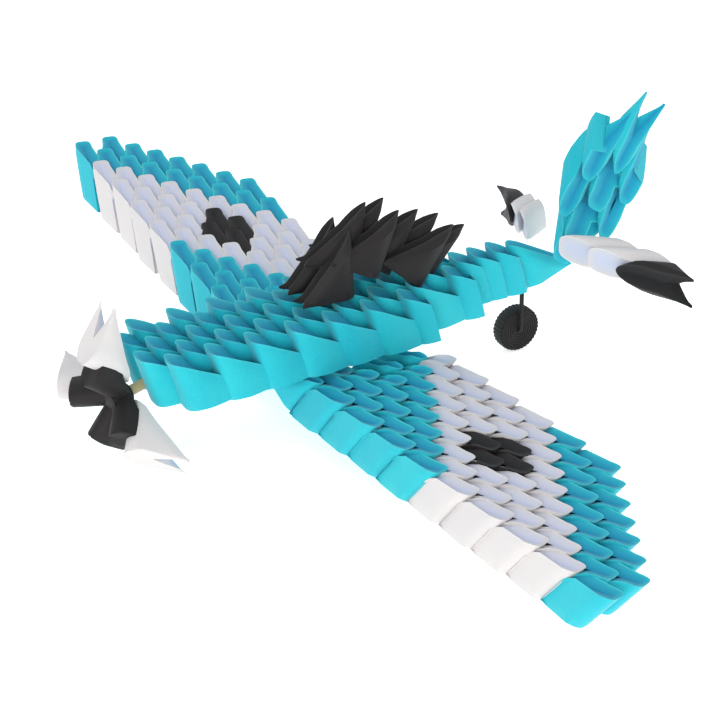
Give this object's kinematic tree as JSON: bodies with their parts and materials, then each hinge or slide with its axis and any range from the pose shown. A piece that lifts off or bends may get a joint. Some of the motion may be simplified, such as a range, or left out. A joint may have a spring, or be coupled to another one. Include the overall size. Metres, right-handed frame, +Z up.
{
  "type": "paper airplane",
  "caption": "Propeller airplane built from nested folded paper wedges, with stepped wings, canopy, forked fin, tailplane, spinning propeller and rolling wheels.",
  "frame": {"origin": "centre of the object's footprint box on the surface it stands on", "axes": "+Z up, the nose towards -Y, the wings along X, the aircraft's left wing towards +X"},
  "size_m": [0.3212, 0.2025, 0.0791],
  "materials": {
    "turquoise_paper": "matte",
    "white_paper": "matte",
    "black_paper": "matte",
    "rolled_paper": "matte",
    "black_card": "matte",
    "black_wire": "satin"
  },
  "bodies": {
    "airframe": {"fuselage_a": "turquoise_paper", "fuselage_b": "turquoise_paper", "fuselage_c": "turquoise_paper", "fuselage_d": "turquoise_paper", "fuselage_e": "turquoise_paper", "fuselage_f": "turquoise_paper", "fuselage_g": "turquoise_paper", "left_wing_row_1": "turquoise_paper", "left_wing_row_2": "turquoise_paper", "left_wing_row_3": "white_paper", "left_wing_row_4": "white_paper", "left_wing_row_5": "white_paper", "left_wing_row_6": "white_paper", "left_wing_row_7": "turquoise_paper", "left_wing_row_8": "turquoise_paper", "left_wing_row_9": "turquoise_paper", "left_wing_row_10": "turquoise_paper", "left_wing_mark_outer": "black_paper", "left_wing_mark_inner": "black_paper", "right_wing_row_1": "turquoise_paper", "right_wing_row_2": "turquoise_paper", "right_wing_row_3": "white_paper", "right_wing_row_4": "white_paper", "right_wing_row_5": "white_paper", "right_wing_row_6": "white_paper", "right_wing_row_7": "turquoise_paper", "right_wing_row_8": "turquoise_paper", "right_wing_row_9": "turquoise_paper", "right_wing_row_10": "turquoise_paper", "right_wing_mark_outer": "black_paper", "right_wing_mark_inner": "black_paper", "canopy_row_1": "black_paper", "canopy_row_2": "black_paper", "canopy_row_3": "black_paper", "canopy_row_4": "black_paper", "canopy_row_5": "black_paper", "canopy_row_6": "black_paper", "fin_row_1": "turquoise_paper", "fin_row_2": "turquoise_paper", "fin_row_3": "turquoise_paper", "fin_row_4": "turquoise_paper", "fin_row_5": "turquoise_paper", "fin_row_6": "turquoise_paper", "left_stabiliser_root": "white_paper", "left_stabiliser_tip": "black_paper", "right_stabiliser_root": "white_paper", "right_stabiliser_tip": "black_paper", "propeller_shaft": "rolled_paper", "tail_strut": "black_wire", "left_strut": "black_wire", "right_strut": "black_wire"},
    "propeller": {"propeller_hub": "black_paper", "propeller_blades": "white_paper", "propeller_sleeve": "black_paper"},
    "tail_wheel": {"tail_wheel": "black_card"},
    "left_wheel": {"left_wheel": "black_card"},
    "right_wheel": {"right_wheel": "black_card"}
  },
  "joints": [
    {"name": "propeller_spin", "type": "hinge", "parent": "airframe", "child": "propeller", "pos_m": [0, -0.0851, 0.0237], "axis": [0.1724, -0.9775, -0.1219], "continuous": true},
    {"name": "tail_wheel_spin", "type": "hinge", "parent": "airframe", "child": "tail_wheel", "pos_m": [0, 0.0485, 0.0074], "axis": [1, 0, 0], "continuous": true},
    {"name": "left_wheel_spin", "type": "hinge", "parent": "airframe", "child": "left_wheel", "pos_m": [0.0828, -0.0205, 0.0041], "axis": [1, 0, 0], "continuous": true},
    {"name": "right_wheel_spin", "type": "hinge", "parent": "airframe", "child": "right_wheel", "pos_m": [-0.0828, -0.0205, 0.0041], "axis": [1, 0, 0], "continuous": true}
  ]
}
